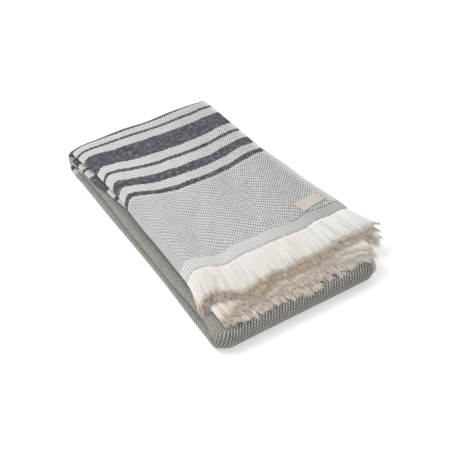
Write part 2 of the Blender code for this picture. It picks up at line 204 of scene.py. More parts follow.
# How far each layer's end reaches forward of the shortest one, at the cloth's two ends.
Reach = namedtuple("Reach", "fold place top under")
REACHES = (
    Reach("layer 1, on top", 0.90, 0.000, 0.015),
    Reach("layer 4, lowest", 0.10, 0.014, 0.000),
    Reach("layer 4, lowest", 0.94, 0.014, 0.000),
    Reach("layer 3", 0.06, 0.009, 0.005),
    Reach("layer 3", 0.94, 0.009, 0.005),
    Reach("layer 2", 0.06, 0.005, 0.010),
)

# The top layer's end where it lies further forward than its waves say, in metres at places
# across the strip, and how far behind the end that dies out.
END_TOUCH_PLACES = (-0.113, -0.097, -0.076, -0.055, -0.020, 0.008, 0.043, 0.061, 0.093, 0.125)
END_TOUCH = (-0.004, 0.001, 0.003, 0.004, 0.004, 0.006, 0.000, 0.006, 0.004, -0.001)
END_TOUCH_FADE = 0.060

# Slow waves of the two ends, in metres.
EndWave = namedtuple("EndWave", "size length shift")
END_WAVES = (EndWave(0.0035, 0.098, 0.031), EndWave(0.0022, 0.057, 0.000))
UNDER_END_SHIFT = 0.040

# Slow waves of the whole stack, as a share of its height, and soft relief of the top layer, in
# metres, that dies out within a margin of its sides.
Wave = namedtuple("Wave", "size across along phase")
STACK_WAVES = (
    Wave(0.020, 0.150, 0.410, 0.6),
    Wave(0.014, 0.083, -0.300, 2.1),
    Wave(0.012, 0.500, 0.170, 0.0),
)
RELIEF_WAVES = (
    Wave(0.00040, 0.061, 0.085, 0.4),
    Wave(0.00030, -0.043, 0.060, 1.9),
    Wave(0.00022, 0.029, -0.051, 4.0),
)
RELIEF_MARGIN = 0.020

# How the stack settles: looser below, closed up where the second run's left turn stands back,
# sunk where the fringes leave it, thinner along the sides, round at the front turn's corners and
# dented along the back part of its left side.
LOWER_PUFF = 1.08
RUN_TOPS = np.array((3.5, 7.5, 11.5)) * LAYER     # of the lowest, third and second runs
COLLAPSE_START, COLLAPSE_WIDTH = 0.002, 0.016
THIRD_RISE, TOP_DROP = 0.0038, 0.0050
FRONT_DROOP, DROOP_START_Y, DROOP_LENGTH = 0.40, -0.115, 0.100
SIDE_SLOPE, SIDE_SLOPE_WIDTH = 0.05, 0.030
CORNER_ROUND, CORNER_WIDTH, CORNER_REACH, CORNER_FADE = 0.006, 0.018, 0.120, 0.030
LEFT_DENT, DENT_REACH, DENT_HEIGHT = 0.0020, 0.0045, 0.6 * LAYER
DENT_FADE_IN, DENT_END, DENT_FADE_OUT = 0.030, 0.300, 0.150

# The left turns of the strip aren't filled out: towards them the layers close up, so that the
# turned side is a soft nose.
NOSE_REACH = 0.024          # how far from the side that starts
NOSE_FLOOR = 0.30           # share of the strip's height that is left at the side
NORMAL_STEP = 0.0002        # by which the surface is felt for its normal


def eased(value):
    """Smooth step from 0 to 1: v * v * (3 - 2 v), held outside."""
    value = np.clip(value, 0.0, 1.0)
    return value * value * (3.0 - 2.0 * value)


def fold_length(fold):
    """Straight length of a run, or the arc of a turn."""
    return fold.length + fold.radius * abs(fold.turned)


def fold_start(folds, name):
    """Distance along the folded line at which the named fold starts."""
    names = [fold.name for fold in folds]
    return sum(fold_length(fold) for fold in folds[:names.index(name)])


CLOTH_LENGTH = sum(fold_length(fold) for fold in LENGTH_FOLDS)
CLOTH_WIDTH = sum(fold_length(fold) for fold in WIDTH_FOLDS)


def stations(folds, grading):
    """Distances of the mesh's rows. In a run they crowd to its ends: s - g sin(2 pi s) / (2 pi)."""
    rows = [0.0]
    for fold in folds:
        share = np.arange(1, fold.spans + 1) / fold.spans
        if fold.radius == STRAIGHT:
            share = share - grading * np.sin(2 * math.pi * share) / (2 * math.pi)
        rows.extend(rows[-1] + fold_length(fold) * share)
    return np.array(rows)


def folded_line(folds, start, distance):
    """Point and heading at each distance along straight runs joined by round turns.

    A turn is the arc about the point one radius to the side it bends to. Past both ends the line
    goes straight on.
    """
    one, two, heading = start
    first, second, headings = (np.zeros(distance.shape) for _ in range(3))
    for fold in folds:
        reached = fold_start(folds, fold.name)
        here = (distance >= reached) | (fold is folds[0])
        along = distance[here] - reached
        if fold.radius == STRAIGHT:
            first[here] = one + along * math.cos(heading)
            second[here] = two + along * math.sin(heading)
            headings[here] = heading
            one += fold.length * math.cos(heading)
            two += fold.length * math.sin(heading)
        else:
            arm = math.copysign(fold.radius, fold.turned)
            centre = (one - arm * math.sin(heading), two + arm * math.cos(heading))
            headings[here] = heading + along / arm
            first[here] = centre[0] + arm * np.sin(headings[here])
            second[here] = centre[1] - arm * np.cos(headings[here])
            heading += fold.turned
            one = centre[0] + arm * math.sin(heading)
            two = centre[1] - arm * math.cos(heading)
    return first, second, headings


def fold_values(table, folds, distance):
    """The last two columns of a table whose rows stand at a share of a fold, eased row to row."""
    lengths = {fold.name: fold_length(fold) for fold in folds}
    places = np.array([fold_start(folds, row.fold) + row.place * lengths[row.fold] for row in table])
    index = np.clip(np.searchsorted(places, distance) - 1, 0, len(places) - 2)
    share = eased((distance - places[index]) / (places[index + 1] - places[index]))
    columns = [np.array([row[column] for row in table]) for column in (-2, -1)]
    return [values[index] + (values[index + 1] - values[index]) * share for values in columns]


def end_wave(x):
    """How far the cloth's end lies behind its mean place: the sum of its sine waves."""
    return sum(wave.size * np.sin(2 * math.pi * (x + wave.shift) / wave.length) for wave in END_WAVES)


def slow_waves(waves, x, y):
    """Sum of slanting sine waves: size * sin(2 pi (x / across + y / along) + phase)."""
    return sum(wave.size * np.sin(2 * math.pi * (x / wave.across + y / wave.along) + wave.phase)
               for wave in waves)


def loosened(z):
    """Heights with the lower half of the stack looser and the upper half tighter by one share."""
    middle = (LAYERS - 1) / 2 * LAYER
    return np.minimum(z, middle) * LOWER_PUFF + np.maximum(z - middle, 0.0) * (2.0 - LOWER_PUFF)


def settle(x, y, z):
    """Heights of the settled stack, one rule for every layer so that none crosses another.

    Loosened heights move by what their run rises or drops beyond the second run's left turn,
    those above the third run shrink to it by the droop, and all are scaled by side and wave.
    """
    lowest_top, third_top, second_top = loosened(RUN_TOPS)
    z = loosened(z - LAYER / 2)
    second_run = fold_start(LENGTH_FOLDS, "second run")
    second_left, _ = fold_values(SIDES, LENGTH_FOLDS, second_run + BACK_TURN_Y - y)
    beyond = eased((second_left + COLLAPSE_START - x) / COLLAPSE_WIDTH)
    z = z + beyond * np.interp(z, (lowest_top, third_top, second_top), (0.0, THIRD_RISE, -TOP_DROP))
    third_top = third_top + beyond * THIRD_RISE
    droop = 1.0 - FRONT_DROOP * eased((DROOP_START_Y - y) / DROOP_LENGTH)
    z = np.where(z > third_top, third_top + (z - third_top) * droop, z)
    inside = (HALF_WIDTH - abs(x)) / SIDE_SLOPE_WIDTH
    scale = 1.0 - SIDE_SLOPE * eased(1.0 - inside) + slow_waves(STACK_WAVES, x, y)
    return CLOTH_THICK / 2 + z * scale


def nosed(width, depth):
    """Heights within the strip, drawn to its middle by the root of 1 - t * t towards the left."""
    inwards = np.clip(1.0 - (width + HALF_WIDTH) / NOSE_REACH, 0.0, 1.0)
    return depth * (NOSE_FLOOR + (1.0 - NOSE_FLOOR) * np.sqrt(1.0 - inwards ** 2))


def towel_surface(across, along):
    """Middle of the cloth at distances across and along it, as an array of points.

    The width's folds give x and the height within the strip. The length's folds give the strip's
    own place, and the height is laid off along its normal. The two ends then get their reaches
    and waves, the front its round corners, the left side its dent, and the heights settle.
    """
    width, depth, _ = folded_line(WIDTH_FOLDS, WIDTH_START, across)
    depth = nosed(width, depth)
    strip_y, strip_z, heading = folded_line(LENGTH_FOLDS, LENGTH_START, along)
    left, right = fold_values(SIDES, LENGTH_FOLDS, along)
    share = (width + HALF_WIDTH) / (2 * HALF_WIDTH)
    x = left + (right - left) * share
    y = strip_y - depth * np.sin(heading)
    y = y + BACK_SKEW * share * np.clip(y / BACK_TURN_Y, 0.0, 1.0)
    z = strip_z + depth * np.cos(heading)

    second_run = fold_start(LENGTH_FOLDS, "second run")
    near_top = np.clip(1.0 - along / fold_length(LENGTH_FOLDS[0]), 0.0, 1.0)
    near_under = np.clip((along - second_run) / fold_length(LENGTH_FOLDS[-1]), 0.0, 1.0)
    top_reach, under_reach = fold_values(REACHES, WIDTH_FOLDS, across)
    y = y + near_top * (end_wave(x) - top_reach)
    y = y + near_under * (end_wave(x + UNDER_END_SHIFT) - under_reach)

    near_end = eased(1.0 - along / END_TOUCH_FADE)
    y = y - near_end * np.interp(x, END_TOUCH_PLACES, END_TOUCH)

    at_front = eased((FRONT_TURN_Y + CORNER_FADE - y) / CORNER_FADE)
    from_turn = abs(along - fold_start(LENGTH_FOLDS, "third run"))
    at_left = eased(1.0 - (x - left) / CORNER_WIDTH)
    at_right = eased(1.0 - (right - x) / CORNER_WIDTH)
    y = y + CORNER_ROUND * (at_left + at_right) * at_front * eased(1.0 - from_turn / CORNER_REACH)

    past_back = along - fold_start(LENGTH_FOLDS, "lowest run")
    dented = eased(past_back / DENT_FADE_IN) * eased((DENT_END - past_back) / DENT_FADE_OUT)
    crease = np.exp(-((z - 2 * LAYER) / DENT_HEIGHT) ** 2)
    x = x + LEFT_DENT * dented * crease * eased(1.0 - (x - left) / DENT_REACH)

    inner = eased(across / RELIEF_MARGIN) * eased((LAYER_LENGTH - across) / RELIEF_MARGIN)
    inner = inner * eased((fold_length(LENGTH_FOLDS[0]) - along) / (2 * RELIEF_MARGIN))
    z = settle(x, y, z) + inner * slow_waves(RELIEF_WAVES, x, y)
    return np.stack((x - BOX_CENTRE[0], y - BOX_CENTRE[1], z), axis=-1)


def offset_surface(across, along, offset):
    """The cloth moved along its normal, the cross product of short steps along and across it."""
    step = NORMAL_STEP
    over_width = towel_surface(across + step, along) - towel_surface(across - step, along)
    over_length = towel_surface(across, along + step) - towel_surface(across, along - step)
    normal = np.cross(over_length, over_width)
    normal = normal / np.linalg.norm(normal, axis=-1, keepdims=True)
    return towel_surface(across, along) + np.asarray(offset)[..., None] * normal


def slab(name, upper, lower, material):
    """A closed sheet between two like grids of points, joined round their edges by quads."""
    rows, columns = upper.shape[:2]
    below = rows * columns
    under = grid_quads(rows, columns)
    grid = np.arange(below).reshape(rows, columns)
    rim = np.concatenate((grid[0, :-1], grid[:-1, -1], grid[-1, :0:-1], grid[:0:-1, 0]))
    ahead = np.roll(rim, -1)
    edge = np.stack((rim, ahead, ahead + below, rim + below), axis=1)
    points = np.concatenate((upper.reshape(-1, 3), lower.reshape(-1, 3)))
    return new_piece(name, points, [under[:, ::-1], under + below, edge], material)


# A weft thread isn't straight: it lags behind its place at the middle of the top layer. Lags in
# mm, at places across the strip, for threads at a distance from the cloth's end. Through the
# outer left turn a thread sweeps forward again and keeps a share of its lag.
LAG_PLACES = (-0.105, -0.085, -0.065, -0.045, -0.020, 0.000, 0.025, 0.050, 0.075, 0.100, 0.112)
Lag = namedtuple("Lag", "distance across")
LAGS = (
    Lag(0.000, (8.0, 6.0, 3.0, 2.0, 1.0, 0.0, 0.0, 1.0, 2.0, 3.0, 4.0)),
    Lag(0.158, (25.3, 17.2, 8.4, 5.8, 1.8, 0.0, 1.4, 5.4, 11.2, 15.4, 17.0)),
    Lag(0.190, (25.5, 17.4, 9.3, 5.0, 3.2, 0.4, 1.0, 5.4, 10.8, 13.6, 14.8)),
    Lag(0.226, (22.8, 16.4, 6.9, 2.7, 2.1, 0.0, 0.0, 2.8, 7.0, 8.8, 9.0)),
    Lag(0.250, (19.1, 14.4, 6.8, 2.6, 1.2, 0.2, -0.2, 0.7, 4.5, 4.6, 6.0)),
    Lag(0.290, (12.2, 8.5, 3.4, -0.3, 0.6, 0.1, -2.0, -1.9, -2.3, 0.2, 0.0)),
    Lag(0.311, (7.0, 5.5, 3.1, 0.6, 0.2, 0.0, -0.9, -1.9, -1.3, 0.2, 1.0)),
    Lag(0.330, (3.0, 2.5, 1.0, -1.4, -0.9, 0.3, -0.2, -0.1, 1.2, 3.0, 3.0)),
    Lag(0.380, (0.0,) * len(LAG_PLACES)),
)
LAG_SAMPLES = 248           # a millimetre apart
LAG_WINDOW, LAG_TAILS = 29, 2.0             # samples in the running mean, and its bell's half width
SWEEP_START, SWEEP_END = -0.010, 0.0095     # from the start of the outer left turn
SWEPT_LAG = 0.40
UNDER_LAG = 0.05            # share of the lags at the cloth's other end
LAG_ROUNDS = 4              # of finding the thread that has lagged to a place


def lag_at(x, distance):
    """Lag in metres: each row's line over x, its corners rounded by a running mean under a bell,
    and then straight from row to row."""
    fine = np.linspace(-HALF_WIDTH, HALF_WIDTH, LAG_SAMPLES)
    weights = np.exp(-(np.linspace(-LAG_TAILS, LAG_TAILS, LAG_WINDOW)) ** 2)
    weights = weights / weights.sum()
    pad = LAG_WINDOW // 2
    lags = np.zeros(distance.shape)
    for one, two in zip(LAGS[:-1], LAGS[1:]):
        lines = []
        for row in (one, two):
            line = np.interp(fine, LAG_PLACES, row.across) / 1000.0
            line = np.convolve(np.pad(line, pad, mode="edge"), weights, mode="valid")
            lines.append(np.interp(x, fine, line))
        share = np.clip((distance - one.distance) / (two.distance - one.distance), 0.0, 1.0)
        here = (distance >= one.distance) & (distance < two.distance)
        lags = np.where(here, lines[0] + (lines[1] - lines[0]) * share, lags)
    return lags


def weft_distance(across, along):
    """Distance of the weft thread at a place from the nearer end of the cloth, told by where the
    thread crosses the middle of the top layer: the place's own less its lag, in a few rounds."""
    width, _, _ = folded_line(WIDTH_FOLDS, WIDTH_START, across)
    near_top = np.clip(1.0 - along / fold_length(LENGTH_FOLDS[0]), 0.0, 1.0)
    left, right = fold_values(SIDES, LENGTH_FOLDS, along)
    x = left + (right - left) * (width + HALF_WIDTH) / (2 * HALF_WIDTH)
    top_reach, _ = fold_values(REACHES, WIDTH_FOLDS, across)
    at_top = along < CLOTH_LENGTH / 2
    nearer = np.where(at_top, along + near_top * (end_wave(x) - top_reach), CLOTH_LENGTH - along)
    turn_start = fold_start(WIDTH_FOLDS, "outer left turn")
    swept = eased((across - turn_start - SWEEP_START) / (SWEEP_END - SWEEP_START))
    kept = 1.0 - (1.0 - SWEPT_LAG) * swept
    kept = kept * eased((turn_start + LAYER_LENGTH - across) / LAYER_LENGTH)
    kept = np.where(at_top, kept, UNDER_LAG)
    lagging_x = np.where(across > turn_start, LAG_PLACES[0], x)
    distance = nearer
    for _ in range(LAG_ROUNDS):
        distance = nearer - lag_at(lagging_x, distance) * kept
    return distance


# Bird's-eye cotton: white warp over white, grey and near-black weft. To the eye it is a matt,
# slightly nubby cloth of small dots, near white by the stripes and dark grey in the middle.
# The real dots stand about 2 mm apart in offset rows. They are drawn as the crossings of two sets
# of slanting lines, as coarse as they need to show: one set 3 mm apart and one 5.4 mm, or 2.7 mm
# where the cloth stands up and in its middle. Each is its repeats per metre across and along.
DOT_LINES, FLAT_LINES, UPRIGHT_LINES = (235, 232), (133, -128), (255, -275)
DOT_SHARE = 0.54            # of the first set in the pattern
DOT_EDGES = (-0.15, 0.45)   # of the pattern, from its light thread to its dark one
NUBS, UNDULATION_PATCHES = 140.0, 22.0   # patches per metre of nubby yarn, 7 mm, and of painted light and shade of the cloth's slow undulations, 45 mm
NUB_DETAIL, NUB_ROUGHNESS, UNDULATION_DETAIL = 3.0, 0.6, 2.0
NUB_IN_DOTS = 0.9           # how much the nubs break the dots
UNDULATION_NOISE, UNDULATION_SHADE_SCALE = (0.3, 0.7), (0.96, 1.04)     # the slow noise, and what the colour scales by as painted light and shade
BAND_START, MIDDLE_START, BLEND = 0.150, 0.386, 0.002        # distances from the cloth's end
MIDDLE_SHIFT = 0.30         # the middle is dark with light dots, the rest light with dark ones
GROUND_COLOURS = ("#C9C8C5", "#CECDCB", "#C4C1BA")    # by the border, by the stripes, in the middle
DOT_COLOURS = ("#8B8C8C", "#A8A8A7", "#464645")       # at the same places
SIDE_DARKER, SIDE_REACH = 0.55, (0.17, 0.02)          # of the dots, towards the label's side
SELVEDGE_DOTS, SELVEDGE = 0.15, (0.003, 0.009)        # the paler edge along that side
BUMP_STRENGTH, BUMP_DEPTH, DOT_RELIEF = 0.6, 0.0004, -0.5

# The border beside the fringe shows its single warp threads, dark and light in turn, plainest
# towards the label's side, where one dark weft thread closes it. They are drawn 2.8 mm apart, as
# coarse as they need to show.
BORDER_END, BORDER_RAGGED = 0.020, 0.002
WARP_PITCH, WARP_EDGES = 0.0028, (-0.4, 0.5)
BORDER_LIGHT, BORDER_PALE, BORDER_DARK = linear("#D8D7D6"), linear("#B4B4B4"), linear("#5A5A5B")
BORDER_PALER = (0.04, 0.14)                 # from the side, where its dark threads turn pale
EDGE_THREAD, EDGE_THREAD_HALF, EDGE_THREAD_REACH = 0.0195, 0.0007, 0.085
EDGE_THREAD_NUBS = 1.7      # how dark the nubs make it

# Charcoal stripes with light flecks, their edges jagged by a thread's float.
STRIPES = ((0.1542, 0.1629), (0.1802, 0.2010), (0.2220, 0.2297), (0.2498, 0.2896),
           (0.3082, 0.3141), (0.3264, 0.3470), (0.3660, 0.3745))
STRIPE_SPAN, JAG = 0.50, 0.0011             # the ramp's distance, and a float's length
STRIPE_DARK, STRIPE_FLECK = linear("#3C3E45"), linear("#85878D")
TWILL, TWILL_NUBS, FLECK_FULL = -0.45, 3.2, 0.9       # lines and nubs in a fleck, and its full height

# The sockets of a Mix node, whose names repeat: numbers first, then colours.
FACTOR, NUMBER_A, NUMBER_B, COLOUR_A, COLOUR_B, COLOUR_OUT = 0, 2, 3, 6, 7, 2


def add_node(tree, kind, inputs, output=0, **settings):
    """A new node's output. Its inputs are values or other nodes' outputs, in order or by name."""
    node = tree.nodes.new("ShaderNode" + kind)
    for name, value in settings.items():
        setattr(node, name, value)
    for socket, value in inputs.items() if isinstance(inputs, dict) else enumerate(inputs):
        if isinstance(value, bpy.types.NodeSocket):
            tree.links.new(value, node.inputs[socket])
        else:
            node.inputs[socket].default_value = value
    return node.outputs[output]


cotton, tree, shader = new_material("bird's-eye woven cotton", Roughness=0.92, Sheen_Weight=0.12,
                                    Sheen_Roughness=0.5, Specular_IOR_Level=0.25)
uv = add_node(tree, "UVMap", (), uv_map="weave")
threads = add_node(tree, "SeparateXYZ", (uv,)).node.outputs
thread_u, thread_v = threads["X"], threads["Y"]
weft, upright, closed, closed_dark = (
    add_node(tree, "Attribute", (), "Fac", attribute_name=name)
    for name in ("weft", "upright", "closed", "closed_dark"))

# The unevenness of yarn, the slow painted light and shade, and the crossing lines.
nubs = add_node(tree, "TexNoise", {"Vector": uv, "Scale": NUBS, "Detail": NUB_DETAIL,
                                   "Roughness": NUB_ROUGHNESS})
even_nubs = add_node(tree, "Math", (nubs, 0.5), operation="SUBTRACT")
undulation_shading = add_node(tree, "TexNoise", {"Vector": uv, "Scale": UNDULATION_PATCHES, "Detail": UNDULATION_DETAIL})
lines = []
for often_across, often_along in (DOT_LINES, FLAT_LINES, UPRIGHT_LINES):
    turns = (2 * math.pi * often_across, 2 * math.pi * often_along, 0.0)
    angle = add_node(tree, "VectorMath", (uv, turns), "Value", operation="DOT_PRODUCT")
    lines.append(add_node(tree, "Math", (angle,), operation="COSINE"))
second = add_node(tree, "Mix", {FACTOR: upright, NUMBER_A: lines[1], NUMBER_B: lines[2]})
lattice = add_node(tree, "Mix", {FACTOR: DOT_SHARE, NUMBER_A: second, NUMBER_B: lines[0]})

# The light and the dark thread's colours, each from zone to zone of the cloth.
to_band, to_middle = (
    add_node(tree, "MapRange", (weft, start - BLEND, start + BLEND))
    for start in (BAND_START, MIDDLE_START))
pair = []
for border_side, band, middle in (GROUND_COLOURS, DOT_COLOURS):
    colour = linear(border_side)
    for factor, over in ((to_band, band), (to_middle, middle)):
        colour = add_node(tree, "Mix", {FACTOR: factor, COLOUR_A: colour, COLOUR_B: linear(over)},
                          COLOUR_OUT, data_type="RGBA")
    pair.append(colour)
light_thread, dark_thread = pair
side_darker = add_node(tree, "MapRange", (thread_u, *SIDE_REACH, 1.0, SIDE_DARKER))
dot_colour = add_node(tree, "VectorMath", {0: dark_thread, "Scale": side_darker}, operation="SCALE")

# Where the dots are: open ones by the pattern, run together where the cloth is pulled round.
broken = add_node(tree, "Math", (even_nubs, NUB_IN_DOTS, lattice), operation="MULTIPLY_ADD")
shifted = add_node(tree, "Math", (to_middle, MIDDLE_SHIFT, broken), operation="MULTIPLY_ADD")
open_dots = add_node(tree, "MapRange", (shifted, *DOT_EDGES), interpolation_type="SMOOTHSTEP")
still_open = add_node(tree, "Math", (1.0, closed), operation="SUBTRACT")
dots = add_node(tree, "Math", (open_dots, still_open, closed_dark), operation="MULTIPLY_ADD")
off_selvedge = add_node(tree, "MapRange", (thread_u, *SELVEDGE, SELVEDGE_DOTS))
dots = add_node(tree, "Math", (dots, off_selvedge), operation="MULTIPLY")

# The border's threads, where it is, and the dark thread that closes it.
warp_angle = add_node(tree, "Math", (thread_u, 2 * math.pi / WARP_PITCH), operation="MULTIPLY")
warp_wave = add_node(tree, "Math", (warp_angle,), operation="COSINE")
warp_threads, paler = (
    add_node(tree, "MapRange", (value, *limits))
    for value, limits in ((warp_wave, WARP_EDGES), (thread_u, BORDER_PALER)))
border_dark = add_node(tree, "Mix", {FACTOR: paler, COLOUR_A: BORDER_DARK,
                                     COLOUR_B: BORDER_PALE}, COLOUR_OUT, data_type="RGBA")
border = add_node(tree, "Mix", {FACTOR: warp_threads, COLOUR_A: BORDER_LIGHT,
                                COLOUR_B: border_dark}, COLOUR_OUT, data_type="RGBA")
ragged_v = add_node(tree, "Math", (nubs, BORDER_RAGGED, thread_v), operation="MULTIPLY_ADD")
in_border = add_node(tree, "Math", (ragged_v, BORDER_END), operation="LESS_THAN")
on_thread = add_node(tree, "Math", (thread_v, EDGE_THREAD, EDGE_THREAD_HALF), operation="COMPARE")
near_side = add_node(tree, "Math", (thread_u, EDGE_THREAD_REACH), operation="LESS_THAN")
edge_thread = nubs
for share in (EDGE_THREAD_NUBS, on_thread, near_side):
    edge_thread = add_node(tree, "Math", (edge_thread, share), operation="MULTIPLY")

# The stripes: a ramp over the jagged distance from the cloth's end, dark between each two edges.
jagged = add_node(tree, "Math", (lattice, JAG, weft), operation="MULTIPLY_ADD")
place = add_node(tree, "Math", (jagged, STRIPE_SPAN), operation="DIVIDE")
in_stripe = add_node(tree, "ValToRGB", {"Fac": place})
ramp = in_stripe.node.color_ramp
ramp.interpolation = "CONSTANT"
stripe_edges = [0.0] + [edge for stripe in STRIPES for edge in stripe]
while len(ramp.elements) < len(stripe_edges):
    ramp.elements.new(1.0)
for number, (element, edge) in enumerate(zip(ramp.elements, stripe_edges)):
    element.position = edge / STRIPE_SPAN
    element.color = WHITE if number % 2 else (0.0, 0.0, 0.0, 1.0)
twill = add_node(tree, "Math", (lines[0], TWILL), operation="MULTIPLY")
twill = add_node(tree, "Math", (even_nubs, TWILL_NUBS, twill), operation="MULTIPLY_ADD")
flecks = add_node(tree, "MapRange", (twill, 0.0, FLECK_FULL))
stripe = add_node(tree, "Mix", {FACTOR: flecks, COLOUR_A: STRIPE_DARK, COLOUR_B: STRIPE_FLECK},
                  COLOUR_OUT, data_type="RGBA")

# Each colour lies over the ones before it, and all are made slowly lighter and darker by painted light
# and shade of the cloth's undulations.
woven = light_thread
for factor, over in ((dots, dot_colour), (in_border, border), (edge_thread, BORDER_DARK),
                     (in_stripe, stripe)):
    woven = add_node(tree, "Mix", {FACTOR: factor, COLOUR_A: woven, COLOUR_B: over},
                     COLOUR_OUT, data_type="RGBA")
# Painted light and shade: the slow noise scales the colour up and down as the undulating cloth would be
# lit.
shading = add_node(tree, "MapRange", (undulation_shading, *UNDULATION_NOISE, *UNDULATION_SHADE_SCALE))
shaded = add_node(tree, "VectorMath", {0: woven, "Scale": shading}, operation="SCALE")
tree.links.new(shaded, shader.inputs["Base Color"])
height = add_node(tree, "Math", (lattice, DOT_RELIEF, nubs), operation="MULTIPLY_ADD")
bump = add_node(tree, "Bump", {"Strength": BUMP_STRENGTH, "Distance": BUMP_DEPTH, "Height": height})
tree.links.new(bump, shader.inputs["Normal"])

across_grid, along_grid = np.meshgrid(stations(WIDTH_FOLDS, LAYER_GRADING),
                                      stations(LENGTH_FOLDS, 0.0))
cloth = slab("folded_cloth", offset_surface(across_grid, along_grid, CLOTH_THICK / 2),
             offset_surface(across_grid, along_grid, -CLOTH_THICK / 2), cotton)


def both_faces(grid):
    """A grid's values in the order of a slab's points: its one face, then its other."""
    return np.tile(grid.ravel(), 2)


def give_values(piece, values):
    """Named values of the piece's points."""
    for name, numbers in values.items():
        layer = piece.data.attributes.new(name, "FLOAT", "POINT")
        layer.data.foreach_set("value", numbers.astype(np.float32))


def give_threads(piece, across, along):
    """The piece's UV map: its points' distances across and along the cloth, in metres."""
    mesh = piece.data
    corners = np.zeros(len(mesh.loops), np.int32)
    mesh.loops.foreach_get("vertex_index", corners)
    places = np.stack((across, along), axis=-1)[corners]
    mesh.uv_layers.new(name="weave").data.foreach_set("uv", places.astype(np.float32).ravel())


# Where the cloth is pulled round a turn its dots run together, to one tone with a share of dark
# thread: along the outer left turn, and along the foot of the front turn.
Pull = namedtuple("Pull", "folds fold place closed dark")
LEFT_PULL = Pull(WIDTH_FOLDS, "outer left turn", 0.50, 0.45, 0.52)
FRONT_PULL = Pull(LENGTH_FOLDS, "front turn", 0.05, 0.50, 0.60)
PULLED_BESIDE = 0.010
LEVEL, TILT = 0.97, 0.20    # the normal's upward part of level cloth, and its loss when it stands up
FINE_START, FINE_FADE = 0.375, 0.020        # where the middle's finer dots start


def pulled(pull, distance):
    """1 along the pull's line, eased to 0 on either side of it."""
    length = sum(fold_length(fold) for fold in pull.folds if fold.name == pull.fold)
    line = fold_start(pull.folds, pull.fold) + pull.place * length
    return eased(1.0 - (abs(distance - line) - PULLED_BESIDE) / PULLED_BESIDE)


closed_left = LEFT_PULL.closed * pulled(LEFT_PULL, across_grid)
closed_front = FRONT_PULL.closed * pulled(FRONT_PULL, along_grid)
cloth_points = towel_surface(across_grid, along_grid)
outward = np.cross(np.gradient(cloth_points, axis=1), np.gradient(cloth_points, axis=0))
level = abs(outward[..., 2]) / np.linalg.norm(outward, axis=-1)
weft_grid = weft_distance(across_grid, along_grid)
upright_grid = np.maximum(eased((LEVEL - level) / TILT), eased((weft_grid - FINE_START) / FINE_FADE))
dark_grid = np.maximum(closed_left * LEFT_PULL.dark, closed_front * FRONT_PULL.dark)
give_threads(cloth, both_faces(across_grid), both_faces(along_grid))
give_values(cloth, {"weft": both_faces(weft_grid), "upright": both_faces(upright_grid),
                    "closed": both_faces(np.maximum(closed_left, closed_front)),
                    "closed_dark": both_faces(dark_grid)})
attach(cloth, "root")
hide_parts("towel")


# ---------------------------------------------------------------------------------------------
# The fringes: the warp's own undyed cotton threads, left 45 mm past the last weft thread at each
# end of the cloth and cut by hand. They lie on one another in four layers, cling together in
# locks, spread at the sides and fray at the cut.
FRINGE_LENGTH = 0.0455
INNER_LONGER = 0.0060       # how much further forward the innermost layer's tips stand
CUT_PLACES = (-0.103, -0.085, -0.076, -0.052, -0.019, 0.010, 0.039, 0.061, 0.092, 0.114, 0.137)
CUT_TOUCH = (-0.001, -0.002, 0.002, 0.005, 0.001, 0.005, -0.001, -0.003, 0.003, 0.000, 0.000)
CUT_WAVE, CUT_WAVES = 0.0013, 60            # the cut's slow unevenness: its size, and its places

STRANDS, STRAND_STEPS, STRAND_SIDES = 3600, 7, 3
STRAND_PLACES = (0.0, 0.6, 1.0)
STRAND_RADIUS = (0.00044, 0.00040, 0.00028)       # at those shares of its length
STRAND_THICKER = (0.80, 1.25)                     # each strand's own share of them
STRAND_INSET, STRAND_JITTER = 0.0005, 0.0004      # of its root, from the cloth's side and from even
STRAND_LENGTH = 0.0008                            # how unlike the strands are in length
STRAND_TUCK = 0.0015                              # how deep the root is in the cloth
RING_FROM = np.array((0.21, 0.13, 1.0))           # a direction that no strand runs in

LOCKS, LOCK_UNEVEN = 280, 0.4
LOCK_LENGTH, LOCK_ASIDE, LOCK_LIFT = 0.0022, 0.0011, 0.0010      # how unlike the locks are
LEAST_LENGTH, LEAST_ASIDE, LEAST_LIFT = 0.30, 0.35, 0.20         # of that, in the outermost layer
GATHER = (0.12, 0.60)       # of a strand to its lock's middle: in the outermost layer, in the innermost
GATHER_LEAST, GATHER_CURVE = 0.2, 1.5       # the loosest strand's share, and the rise along a strand
TOP_FLARE, UNDER_FLARE = (0.008, 0.021), (0.000, 0.002)          # at the left side and the right
FLARE_POWER, FLARE_CURVE = 5, 1.5           # its rise towards the sides, and along a strand
FLARE_FADE = 0.5            # how much of it the innermost layer loses
UNDER_SPREAD, SPREAD_RISE = 0.010, 3.0      # of the under fringe past the cloth's left side
SAG, RIGHT_SAG = (0.0010, 0.0050), 0.0100   # with what the innermost layer adds, there and at the right
SWAY = np.array((0.0013, 0.0009, 0.0007))   # of a strand along x, y and z
LEAST_SWAY = 0.45           # of that, in the outermost layer
SWAY_TURNS, SWAY_SHIFT = (0.6, 1.4), 6.3    # waves along a strand, and the angle where they start

FIBRES_PER_STRAND, FIBRE_STEPS = 3, 2
FIBRE_RADII = (0.000204, 0.000170, 0.000085)      # at its root, its middle and its tip
FIBRE_LENGTH = (0.0018, 0.0052)
FIBRE_ROOTS = (0.84, 0.99)                  # where they leave the yarn, as shares of its length
FIBRE_STRAY, FIBRE_STRAY_AXES = 0.42, np.array((1.0, 0.7, 0.55))     # from its yarn, on x, y and z
FIBRE_CURL, FIBRE_CURL_AXES = 0.30, np.array((1.0, 0.7, 0.6))

TINT_LOCKS, TINT_STRANDS = 0.11, 0.20       # how unlike the locks' and the strands' browns are
OUTER_BROWNER = 0.35        # how much browner the outermost layer's painted tip shade is than the innermost's
RIGHT_PALER = 0.50          # how much less painted shade the right end's tips get, where light comes through them
DEPTH_GAIN = 3.0            # a third of the way in, a strand gets as much painted shade as the innermost
FLUFF_TIP_SHADE = (0.35, 0.50)                 # painted shade of the outermost layer's fibres, and what depth adds
